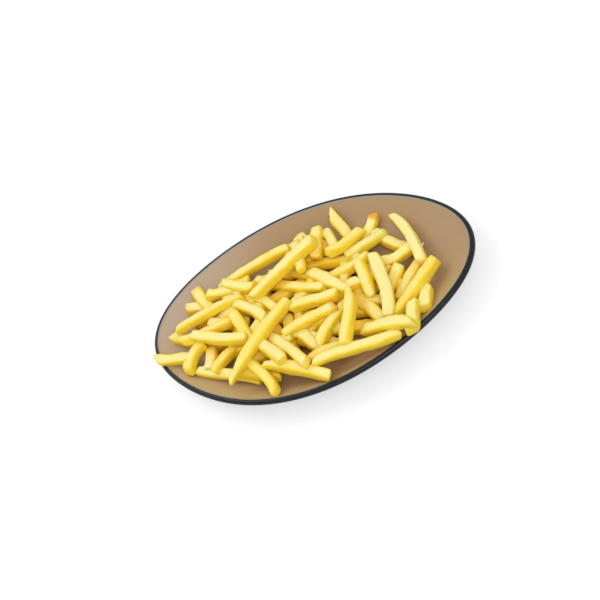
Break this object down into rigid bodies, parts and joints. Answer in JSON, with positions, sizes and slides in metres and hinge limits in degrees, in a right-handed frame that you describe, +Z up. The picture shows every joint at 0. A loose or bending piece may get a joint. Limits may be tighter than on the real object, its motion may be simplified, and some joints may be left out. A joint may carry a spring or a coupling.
{
  "type": "french fries portion",
  "caption": "Portion of french fries heaped on an oval glazed coupe plate, taupe inside with a dark rolled lip.",
  "frame": {"origin": "on the table, under the middle of the plate's bounding box", "axes": "+Z up, X along the plate's long axis, Y along its short axis"},
  "size_m": [0.2803, 0.1828, 0.0401],
  "materials": {
    "plate_glaze": "satin taupe glaze inside, near-black glaze on the lip and outside",
    "fried_potato": "fried potato, pale yellow on top and golden on the sides, faintly oily"
  },
  "bodies": {
    "root": {"plate": "plate_glaze", "fries_heap": "fried_potato"}
  },
  "joints": []
}
